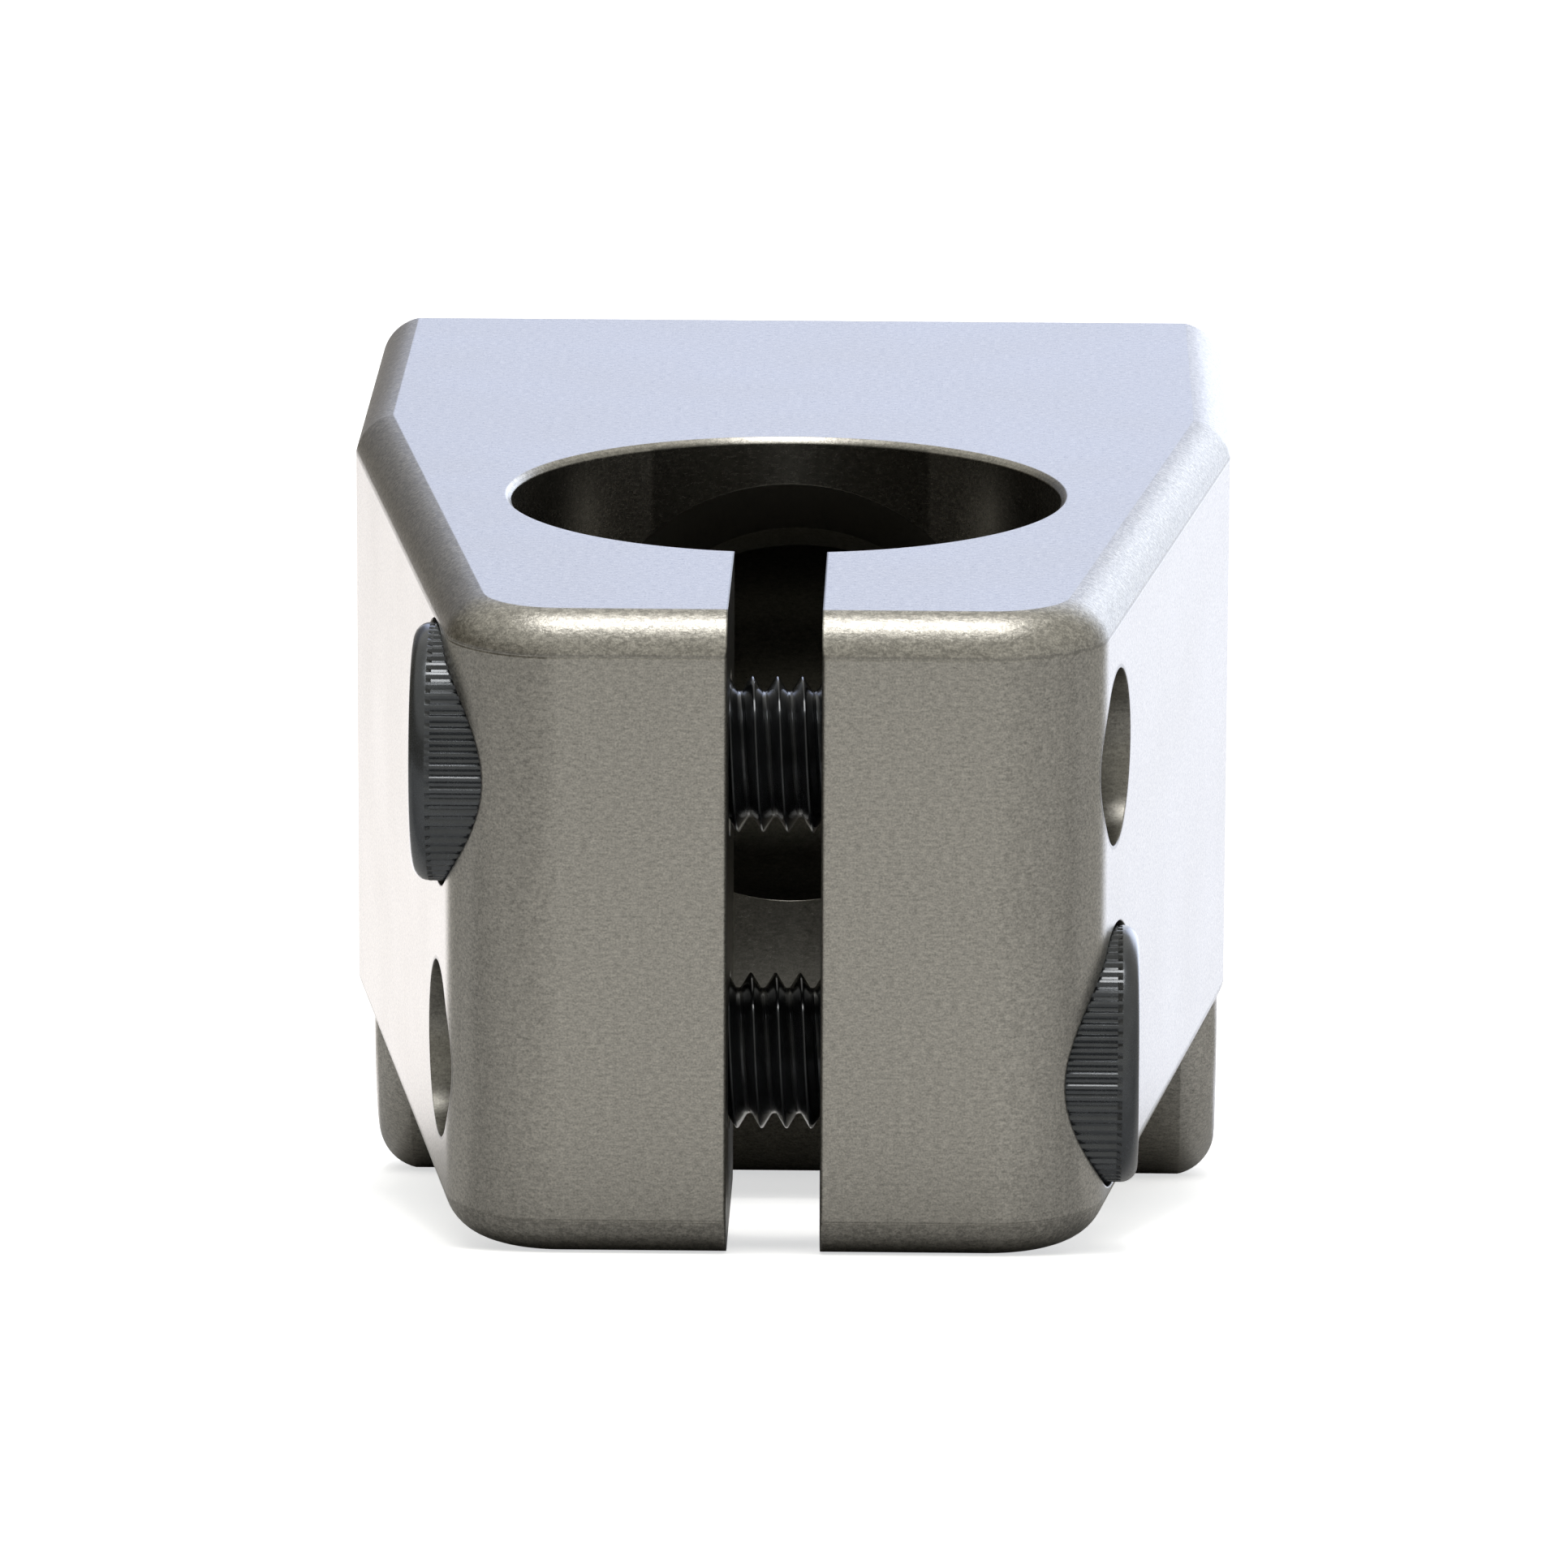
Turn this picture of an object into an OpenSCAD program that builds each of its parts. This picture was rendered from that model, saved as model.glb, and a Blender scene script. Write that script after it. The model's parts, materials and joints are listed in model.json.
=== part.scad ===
// Threadless bicycle handlebar stem with a front-loading handlebar clamp.
// The origin is on the steerer axis at half the height of the steerer clamp.
// +Z is the steerer axis, +Y points forward to the handlebar, +X lies along the handlebar.

/* [Steerer clamp] */
// Diameter of the steerer bore
steerer_d = 28.6; // [25.4:0.1:28.6]
// Height of the steerer clamp
clamp_h = 33; // [31:0.5:36]
// Distance from the steerer axis back to the rear face
rear_y = 30; // [29:0.5:31]
// Half width of the block at its rear corners
rear_half_w = 16.75; // [16.5:0.25:17.5]
// Radius of the upright rear corners
corner_r = 6; // [5:0.5:7]
// Rounding along the top and bottom edges
edge_r = 2; // [1:0.25:2.5]
// Angle at which each side flares towards the handlebar
flare = 8.8; // [8:0.2:10]
// Width of the slot that lets the clamp close
slot_w = 4.7; // [4:0.1:5]
// Small chamfer on slot and bore edges
deburr = 0.3; // [0.1:0.1:0.5]

/* [Handlebar clamp] */
// Diameter of the handlebar
bar_d = 22.2; // [22.2:0.1:22.4]
// Reach from the steerer axis to the handlebar axis
reach = 48; // [46:0.5:52]
// Distance from the top plane down to the handlebar axis
bar_drop = 24; // [22:0.5:25]
// Width of the clamp along the handlebar
bar_clamp_w = 47; // [45:0.5:50]
// Thickness of the lower lobe behind the parting face
lobe_t = 13.8; // [12:0.2:16]
// Radius of the lower rear corner of the lobe
lobe_r = 10; // [8:0.5:12]
// Radius of the hollow between the underside and the lobe
hollow_r = 5; // [3:0.5:5]
// Gap between the body and the faceplate
plate_gap = 2; // [1:0.25:3]
// Radius of the core bored from the handlebar clamp into the steerer clamp
core_r = 10.3; // [9.5:0.1:10.3]
// Angle at which the core rises towards the steerer clamp
core_rise = 16.5; // [15:0.5:16.5]

/* [Faceplate] */
// Half height of the faceplate
plate_half_h = 22; // [21:0.25:22]
// Radius of the crown over the handlebar
crown_r = 16.5; // [16:0.25:17]
// Thickness of the plate under its screw heads
seat_t = 8; // [7:0.5:9]

/* [Screws] */
// Height of each steerer screw above or below the middle
screw_z = 7.7; // [7.2:0.1:8.2]
// Distance from the rear face in to the steerer screws
screw_in = 8.2; // [7.8:0.1:8.6]
// Distance from the middle out to the steerer screw seats
screw_seat = 10.3; // [10:0.1:11]
// Length of a steerer screw under its head
screw_len = 25; // [22:1:26]
// Spread of the faceplate screws along the handlebar
plate_screw_x = 15.75; // [14:0.25:16]
// Distance of the faceplate screws above and below the handlebar axis
plate_screw_z = 15.5; // [15:0.1:15.8]
// Length of a faceplate screw under its head
plate_screw_len = 20; // [16:1:22]

/* [Hidden] */

top_z = clamp_h / 2;
bar_z = top_z - bar_drop;
bar_half_w = bar_clamp_w / 2;
part_y = reach - plate_gap / 2;
plate_y = reach + plate_gap / 2;
seat_y = plate_y + seat_t;
lobe_y = part_y - lobe_t;
lobe_bottom = bar_z - (top_z - bar_z);
screw_y = screw_in - rear_y;
blend_r = 4;
end_r = 1.2;
past = 5;
large_r = 8;
bore_fn = 96;
hull_fn = 32;

// Sizes of one socket head cap screw: thread diameter, pitch, head diameter, head height,
// hexagon across flats, socket depth
M8 = [8, 1.25, 13, 8, 6, 4];
M6 = [6, 1, 10, 6, 5, 3];
counterbore_play = 0.25;
hole_play = 0.25;
thread_play = 0.07;
tap_end = 13.5;
relief_r = 4.5;
tap_depth = 12;

// Half width of the flared side, measured at a distance y along the stem
function side_x(y) = rear_half_w + tan(flare) * (y + rear_y - corner_r);

// Middle of a disc of radius r that touches the flared side at a distance y along the stem
function side_centre(r, y) = side_x(y) - r / cos(flare);

// Distance along the stem at which a disc of radius r touches both the flare and the end face
function flare_end(r) =
    (bar_half_w - r + r / cos(flare) - rear_half_w) / tan(flare) + corner_r - rear_y;

// Upright disc of radius r between z0 and z1 with both rims rounded
module rounded_disc(r, z0, z1, rim) {
    rotate_extrude($fn = r > large_r ? 2 * hull_fn : hull_fn)
        intersection() {
            translate([-r, z0]) offset(rim, $fn = hull_fn) offset(-rim) square([2 * r, z1 - z0]);
            translate([0, z0]) square([r, z1 - z0]);
        }
}

// Rod of radius r along the handlebar direction with both rims rounded, at the place [y, z]
module rounded_rod(r, width, rim, place) {
    translate([0, place[0], place[1]])
        rotate([0, 90, 0])
            rounded_disc(r, -width / 2, width / 2, rim);
}

// Cylinder along the handlebar direction at the place [y, z]
module cross_bore(r, length, place) {
    translate([0, place[0], place[1]])
        rotate([0, 90, 0])
            cylinder(h = length, r = r, center = true, $fn = bore_fn);
}

// Flared block that holds the steerer and carries the handlebar clamp
module block() {
    hull()
        for (side = [-1, 1]) {
            translate([side * side_centre(corner_r, corner_r - rear_y), corner_r - rear_y, 0])
                rounded_disc(corner_r, -top_z, top_z, edge_r);
            translate([side * (bar_half_w - blend_r), flare_end(blend_r), 0])
                rounded_disc(blend_r, -top_z, top_z, edge_r);
            translate([side * (bar_half_w - edge_r), part_y + past, 0])
                rounded_disc(edge_r, -top_z, top_z, edge_r - 0.001);
        }
}

// Lower half of the handlebar clamp, which hangs below the block
module lobe() {
    hull() {
        rounded_rod(lobe_r, bar_clamp_w, edge_r, [lobe_y + lobe_r, lobe_bottom + lobe_r]);
        for (y = [lobe_y + blend_r, part_y + past], z = [lobe_bottom + lobe_r, bar_z + blend_r])
            rounded_rod(blend_r, bar_clamp_w, edge_r, [y, z]);
        rounded_rod(blend_r, bar_clamp_w, edge_r, [part_y + past, lobe_bottom + blend_r]);
    }
}

// Concave web between the underside of the block and the back of the lobe
module hollow_web() {
    width = bar_clamp_w - 2 * edge_r;
    rotate([90, 0, 90])
        linear_extrude(height = width, center = true)
            difference() {
                translate([lobe_y - hollow_r, -top_z - hollow_r])
                    square([hollow_r + edge_r, hollow_r + edge_r]);
                translate([lobe_y - hollow_r, -top_z - hollow_r])
                    circle(hollow_r, $fn = bore_fn);
                translate([lobe_y, -top_z - 2 * hollow_r])
                    square([edge_r * 2, hollow_r]);
            }
}

// Upright steerer bore with a fine chamfer at each end
module steerer_bore() {
    cylinder(h = clamp_h + 2 * past, d = steerer_d, center = true, $fn = bore_fn);
    for (end = [0, 1])
        mirror([0, 0, end])
            translate([0, 0, top_z - deburr])
                cylinder(h = 2 * deburr, d1 = steerer_d, d2 = steerer_d + 4 * deburr, $fn = bore_fn);
}

// Upright slot from the steerer bore to the rear face, chamfered at the rear
module clamp_slot() {
    half = slot_w / 2;
    linear_extrude(height = clamp_h + 2 * past, center = true)
        polygon([
            [-half, 0], [-half, deburr - rear_y], [-half - deburr - past, -rear_y - past],
            [half + deburr + past, -rear_y - past], [half, deburr - rear_y], [half, 0]
        ]);
}

// Handlebar bore with a chamfer at each end
module bar_bore() {
    cross_bore(bar_d / 2, bar_clamp_w + 2 * past, [reach, bar_z]);
    for (end = [0, 1])
        mirror([end, 0, 0])
            translate([bar_half_w - 2 * deburr, reach, bar_z])
                rotate([0, 90, 0])
                    cylinder(h = 4 * deburr, d1 = bar_d, d2 = bar_d + 8 * deburr, $fn = bore_fn);
}

// Lightening core from the middle of the handlebar bore into the steerer bore
module core() {
    translate([0, reach, bar_z])
        rotate([90 - core_rise, 0, 0])
            cylinder(h = reach, r = core_r, $fn = bore_fn);
}

// Stepped hole for one steerer screw, with its head towards the given side
module steerer_screw_hole(side, z) {
    translate([0, screw_y, z])
        rotate([0, side * 90, 0]) {
            translate([0, 0, screw_seat])
                cylinder(h = bar_half_w, d = M8[2] + 2 * counterbore_play, $fn = bore_fn);
            cylinder(h = screw_seat + 1, d = M8[0] + 2 * hole_play, $fn = bore_fn);
            rotate([180, 0, 0]) {
                cylinder(h = tap_end + 1, d = M8[0], $fn = bore_fn);
                translate([0, 0, tap_end])
                    cylinder(h = bar_half_w, r = relief_r, $fn = bore_fn);
            }
        }
}

// Runs its children at each faceplate screw axis: [side, level]
module at_plate_screw(side, level) {
    translate([side * plate_screw_x, seat_y, bar_z + level * plate_screw_z])
        rotate([-90, 0, 0])
            children();
}

module stem_body() {
    color([0.80, 0.80, 0.80])
        difference() {
            union() {
                block();
                lobe();
                hollow_web();
            }
            translate([-bar_clamp_w, part_y, -bar_clamp_w])
                cube([2 * bar_clamp_w, bar_clamp_w, 2 * bar_clamp_w]);
            steerer_bore();
            clamp_slot();
            bar_bore();
            core();
            steerer_screw_hole(-1, screw_z);
            steerer_screw_hole(1, -screw_z);
            for (side = [-1, 1], level = [-1, 1])
                at_plate_screw(side, level)
                    translate([0, 0, -seat_t - plate_gap - tap_depth])
                        cylinder(h = tap_depth + 1, d = M6[0], $fn = bore_fn);
        }
}

module faceplate() {
    flank_r = 4;
    color([0.80, 0.80, 0.80])
        difference() {
            hull() {
                rounded_rod(crown_r, bar_clamp_w, end_r, [reach, bar_z]);
                for (level = [-1, 1])
                    rounded_rod(flank_r, bar_clamp_w, end_r,
                        [seat_y - flank_r + 1, bar_z + level * (plate_half_h - flank_r)]);
                for (level = [-1, 1])
                    rounded_rod(edge_r, bar_clamp_w, end_r,
                        [plate_y - past, bar_z + level * (plate_half_h - edge_r)]);
            }
            translate([-bar_clamp_w, plate_y - 2 * bar_clamp_w, -bar_clamp_w])
                cube([2 * bar_clamp_w, 2 * bar_clamp_w, 2 * bar_clamp_w]);
            bar_bore();
            for (side = [-1, 1], level = [-1, 1])
                at_plate_screw(side, level) {
                    cylinder(h = bar_drop, d = M6[2] + 2 * counterbore_play, $fn = bore_fn);
                    translate([0, 0, -seat_t - 1])
                        cylinder(h = seat_t + 2, d = M6[0] + 2 * hole_play, $fn = bore_fn);
                }
        }
}

// Socket head cap screw of the given sizes, with its seat at z = 0 and its head above
module cap_screw(size, length) {
    crest_r = size[0] / 2 - thread_play;
    root_r = crest_r - 0.6 * size[1];
    turns = floor((length - size[1]) / size[1]);
    head_r = size[2] / 2;
    rim = 0.8;
    color([0.12, 0.12, 0.13])
        difference() {
            rotate_extrude($fn = bore_fn)
                polygon([
                    [0, -length],
                    [root_r, -length],
                    for (turn = [turns - 1:-1:0], point = [[root_r, 0.94], [crest_r, 0.56],
                            [crest_r, 0.44], [root_r, 0.06]])
                        [point[0], -(turn + 0.5 + point[1]) * size[1]],
                    [crest_r, 0],
                    [head_r, 0],
                    [head_r, size[3] - rim],
                    [head_r - rim, size[3]],
                    [0, size[3]]
                ]);
            translate([0, 0, size[3] - size[5]])
                cylinder(h = size[5] + 1, d = size[4] / cos(30), $fn = 6);
        }
}

// Steerer screw with its head towards the given side
module steerer_screw(side, z) {
    translate([0, screw_y, z])
        rotate([0, side * 90, 0])
            translate([0, 0, screw_seat])
                cap_screw(M8, screw_len);
}

module faceplate_screw(side, level) {
    at_plate_screw(side, level) cap_screw(M6, plate_screw_len);
}

stem_body();
faceplate();
steerer_screw(-1, screw_z);  // steerer_screw_upper
steerer_screw(1, -screw_z);  // steerer_screw_lower
faceplate_screw(-1, 1);  // faceplate_screw_upper_left
faceplate_screw(1, 1);  // faceplate_screw_upper_right
faceplate_screw(-1, -1);  // faceplate_screw_lower_left
faceplate_screw(1, -1);  // faceplate_screw_lower_right
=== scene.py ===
"""Looks of a threadless bicycle handlebar stem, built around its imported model."""

import json
import math
from collections import namedtuple

import bmesh
import bpy
from mathutils import Matrix, Vector


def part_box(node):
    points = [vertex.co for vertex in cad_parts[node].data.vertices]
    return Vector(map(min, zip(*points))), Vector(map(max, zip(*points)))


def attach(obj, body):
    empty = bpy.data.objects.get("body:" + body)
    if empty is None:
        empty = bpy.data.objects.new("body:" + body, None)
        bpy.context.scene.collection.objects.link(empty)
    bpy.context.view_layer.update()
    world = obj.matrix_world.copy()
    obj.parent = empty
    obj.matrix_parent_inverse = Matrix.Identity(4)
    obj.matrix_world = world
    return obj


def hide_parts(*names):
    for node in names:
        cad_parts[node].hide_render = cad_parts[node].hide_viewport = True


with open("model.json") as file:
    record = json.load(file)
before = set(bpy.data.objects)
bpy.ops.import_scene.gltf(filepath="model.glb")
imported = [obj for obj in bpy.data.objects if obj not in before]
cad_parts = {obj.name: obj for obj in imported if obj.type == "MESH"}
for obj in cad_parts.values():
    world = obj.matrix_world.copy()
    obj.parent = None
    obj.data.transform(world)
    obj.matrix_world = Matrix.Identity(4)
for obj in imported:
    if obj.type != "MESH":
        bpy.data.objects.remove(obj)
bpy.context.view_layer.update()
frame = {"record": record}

bl_info = {
    "name": "Handlebar Stem",
    "version": (1, 0, 0),
    "blender": (4, 5, 0),
    "location": "View3D > Sidebar > Stem",
    "description": "Builds a bicycle handlebar stem, its screws and its studio",
    "category": "Object",
}

MM = 0.001
RIM_CREASE = 12.0  # degrees at which a rounded rim meets the flat faces
MOUNTS = {mount["name"]: mount for mount in frame["record"]["mounts"]}
JOINTS = {joint["name"]: joint for joint in frame["record"]["behaviour"]["joints"]}
STEERER_R = MOUNTS["steerer_clamp"]["dims"]["r_mm"] * MM
BAR_R = MOUNTS["bar_clamp"]["dims"]["r_mm"] * MM
BAR_PLACE = Vector(MOUNTS["bar_clamp"]["pos_m"]) / MM  # middle of the handlebar bore, mm
BODY_LOW, BODY_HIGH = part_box("stem_body")
PLATE_LOW, PLATE_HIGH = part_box("faceplate")
STEERER_SCREWS = ("steerer_screw_upper", "steerer_screw_lower")
PLATE_SCREWS = tuple(
    f"faceplate_screw_{level}_{side}" for level in ("upper", "lower") for side in ("left", "right")
)


def screw_place(name):
    """Place of a screw's joint, in millimetres."""
    return Vector(JOINTS[name + "_turn"]["pos_m"]) / MM


# ---------------------------------------------------------------- settings


def length(name, description, default):
    """A size in metres that a user may change."""
    return bpy.props.FloatProperty(
        name=name, description=description, default=default, min=0.0, unit="LENGTH", precision=5
    )


def angle(name, description, default):
    """An angle that a user may change, given here in degrees."""
    return bpy.props.FloatProperty(
        name=name, description=description, default=math.radians(default), unit="ROTATION"
    )


def factor(name, description, default):
    """A number from 0 to 1."""
    return bpy.props.FloatProperty(
        name=name, description=description, default=default, min=0.0, max=1.0, subtype="FACTOR"
    )


def colour(name, description, default):
    """A linear colour."""
    return bpy.props.FloatVectorProperty(
        name=name, description=description, default=default, size=3, min=0.0, max=4.0,
        subtype="COLOR",
    )


class StemSizes(bpy.types.PropertyGroup):
    """Sizes of the machined body"""

    steerer_r: length("Steerer radius", "Radius of the steerer bore", STEERER_R)
    bar_r: length("Bar radius", "Radius of the handlebar bore", BAR_R)
    corner_r: length("Corner radius", "Radius of the upright rear corners", 0.006)
    edge_r: length("Edge rounding", "Rounding of the long edges", 0.002)
    rear_half_w: length("Rear half width", "Half width at the rear corners", 0.01675)
    flare: angle("Flare", "Angle at which each side flares", 8.8)
    blend_r: length("Blend radius", "Rounding where the flare ends", 0.004)
    slot_w: length("Slot width", "Width of the clamp slot", 0.0047)
    deburr: length("Deburr", "Chamfer of bores and slot", 0.0003)
    lobe_t: length("Lobe thickness", "Thickness of the lower lobe", 0.0138)
    lobe_r: length("Lobe radius", "Radius under the lobe", 0.010)
    hollow_r: length("Hollow radius", "Radius between underside and lobe", 0.005)
    seat: length("Screw seat", "Distance of the screw seats from the middle", 0.0103)
    tap_end: length("Tapped end", "Distance at which the tapped holes end", 0.0135)
    relief_r: length("Relief radius", "Radius of the plain exit holes", 0.0045)
    core_r: length("Core radius", "Radius of the core between the two clamps", 0.0103)
    core_rise: angle("Core rise", "Angle at which the core rises to the steerer", 16.5)
    tap_depth: length("Tapped depth", "Depth of the faceplate screw holes", 0.012)


class PlateSizes(bpy.types.PropertyGroup):
    """Sizes of the faceplate"""

    crown_r: length("Crown radius", "Radius over the handlebar", 0.0165)
    flank_r: length("Flank radius", "Rounding of the upper and lower ends", 0.004)
    rim: length("Rim", "Rounding of the end faces", 0.0012)
    seat_t: length("Seat thickness", "Thickness under the screw heads", 0.008)


class Finishes(bpy.types.PropertyGroup):
    """Colours and surface of the metals"""

    anodised: colour("Anodised", "Colour of the anodised aluminium", (0.62, 0.60, 0.555))
    anodised_rough: factor("Anodised roughness", "Roughness of the aluminium", 0.30)
    # Painted shade: the colour that the bores, slot, holes and core are darkened towards.
    bore: colour("Bores", "Colour that the bores darken towards", (0.03, 0.032, 0.024))
    black: colour("Black oxide", "Colour of the screws", (0.062, 0.067, 0.074))
    black_rough: factor("Black roughness", "Roughness of the screws", 0.19)


class StudioSettings(bpy.types.PropertyGroup):
    """Camera, light and floor"""

    focal: bpy.props.FloatProperty(
        name="Focal length", description="Focal length of the camera, mm", default=255.2,
        unit="CAMERA",
    )
    camera: bpy.props.FloatVectorProperty(
        name="Camera", description="Place of the camera", default=(0.01027, -0.5655, 0.1356),
        size=3, unit="LENGTH",
    )
    pitch: angle("Pitch", "Downward tilt of the camera", 13.39)
    yaw: angle("Yaw", "Turn of the camera to its left", 1.046)
    roll: angle("Roll", "Roll of the camera", 0.22)
    window: colour(
        "Window light", "Colour of the bright side above the table", (1.02, 1.14, 1.52)
    )
    table: colour("Table light", "Colour of the bright side below it", (1.75, 1.70, 1.72))
    room: colour("Room light", "Colour of the dim side", (0.44, 0.43, 0.39))
    screen: colour("Screen", "Colour of the dark screen on the left", (0.07, 0.06, 0.04))
    grey_floor: factor("Mirrored floor", "How light the floor is in reflections", 0.445)
    lamp_power: bpy.props.FloatProperty(
        name="Lamp power", description="Power of the soft lamp above", default=2.45, unit="POWER"
    )
    fill_power: bpy.props.FloatProperty(
        name="Fill power", description="Power of the lamp that lights the floor", default=11.0,
        unit="POWER",
    )


GROUPS = {
    "stem_sizes": StemSizes,
    "stem_plate": PlateSizes,
    "stem_finishes": Finishes,
    "stem_studio": StudioSettings,
}


class Millimetres:
    """Reads a PropertyGroup's lengths in millimetres, the unit that the meshes are built in."""

    def __init__(self, group):
        self.group = group

    def __getattr__(self, name):
        return getattr(self.group, name) / MM


# ---------------------------------------------------------------- shader maths


class Wire:
    """A shader socket that takes part in Python arithmetic through Math nodes."""

    def __init__(self, graph, socket):
        self.graph = graph
        self.socket = socket

    def maths(self, operation, *others):
        """A Math node of this value and the others."""
        return self.graph.node("Math", {"operation": operation}, self, *others)

    def __add__(self, other):
        return self.maths("ADD", other)

    def __sub__(self, other):
        return self.maths("SUBTRACT", other)

    def __mul__(self, other):
        return self.maths("MULTIPLY", other)

    def __truediv__(self, other):
        return self.maths("DIVIDE", other)

    def __rsub__(self, other):
        return self.graph.node("Math", {"operation": "SUBTRACT"}, other, self)

    def __rtruediv__(self, other):
        return self.graph.node("Math", {"operation": "DIVIDE"}, other, self)

    def __neg__(self):
        return 0 - self

    __radd__ = __add__
    __rmul__ = __mul__

    def __abs__(self):
        return self.maths("ABSOLUTE")

    def __pow__(self, power):
        return self.maths("POWER", power)

    def band(self, low, high):
        """0 below low, 1 above high, smooth between."""
        return self.graph.node(
            "MapRange", {"interpolation_type": "SMOOTHSTEP"}, self, low, high, 0.0, 1.0
        )

    def within(self, edge, near, far):
        """1 below an edge and 0 above it, fading between near and far past the edge."""
        return 1 - self.band(edge + near, edge + far)

    def swing(self, amount):
        """Noise from 0 to 1, turned into a swing about 0."""
        return (self - 0.5) * amount

    def most(self, other):
        """The larger of two values."""
        return self.maths("MAXIMUM", other)

    def clamped(self):
        """This value kept between 0 and 1."""
        return self.graph.node("Clamp", {}, self, 0.0, 1.0)


def across(a, b):
    """Distance from an axis, given the offsets in the two other directions."""
    return (a * a + b * b) ** 0.5


class Graph:
    """The node tree of one material or world."""

    def __init__(self, owner):
        owner.use_nodes = True
        self.tree = owner.node_tree
        self.tree.nodes.clear()

    def node(self, kind, settings, *inputs, out=0, **named):
        """Adds a node; inputs fill its sockets in order, and named fill them by name."""
        made = self.tree.nodes.new("ShaderNode" + kind)
        for key, value in settings.items():
            setattr(made, key, value)
        pairs = [(made.inputs[place], value) for place, value in enumerate(inputs)]
        pairs += [(made.inputs[name.replace("_", " ")], value) for name, value in named.items()]
        for socket, value in pairs:
            if isinstance(value, Wire):
                self.tree.links.new(value.socket, socket)
            elif value is not None:
                socket.default_value = value
        return Wire(self, made.outputs[out]) if made.outputs else made

    def blend(self, amount, low, high):
        """A colour between two colours."""
        rgba = [(*shade, 1.0) if isinstance(shade, tuple) else shade for shade in (low, high)]
        made = self.tree.nodes.new("ShaderNodeMix")
        made.data_type = "RGBA"
        for name, value in zip(("Factor_Float", "A_Color", "B_Color"), (amount, *rgba)):
            socket = next(s for s in made.inputs if s.identifier == name)
            if isinstance(value, Wire):
                self.tree.links.new(value.socket, socket)
            else:
                socket.default_value = value
        return Wire(self, next(s for s in made.outputs if s.identifier == "Result_Color"))

    def place(self):
        """Place on the piece in millimetres, as a vector."""
        at = self.node("TexCoord", {}, out="Object")
        return self.node("VectorMath", {"operation": "SCALE"}, at, Scale=1 / MM)

    def axes(self, vector):
        """The three numbers of a vector."""
        split = self.node("SeparateXYZ", {}, vector)
        return [Wire(self, socket) for socket in split.socket.node.outputs]

    def noise(self, vector, scale, detail=3.0, rough=0.55, stretch=(1, 1, 1)):
        """Noise from 0 to 1; scale is in waves a millimetre."""
        spread = self.node("VectorMath", {"operation": "MULTIPLY"}, vector, stretch)
        return self.node(
            "TexNoise", {}, out="Fac", Vector=spread, Scale=scale, Detail=detail, Roughness=rough
        )

    def bump(self, height, strength, distance, normal=None):
        """A normal disturbed by a height; distance is in millimetres."""
        return self.node(
            "Bump", {}, Height=height, Strength=strength, Distance=distance * MM, Normal=normal
        )


def surface(graph, **sockets):
    """A Principled shader joined to the material's output."""
    shader = graph.node("BsdfPrincipled", {}, out="BSDF", **sockets)
    graph.node("OutputMaterial", {}, shader)


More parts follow.
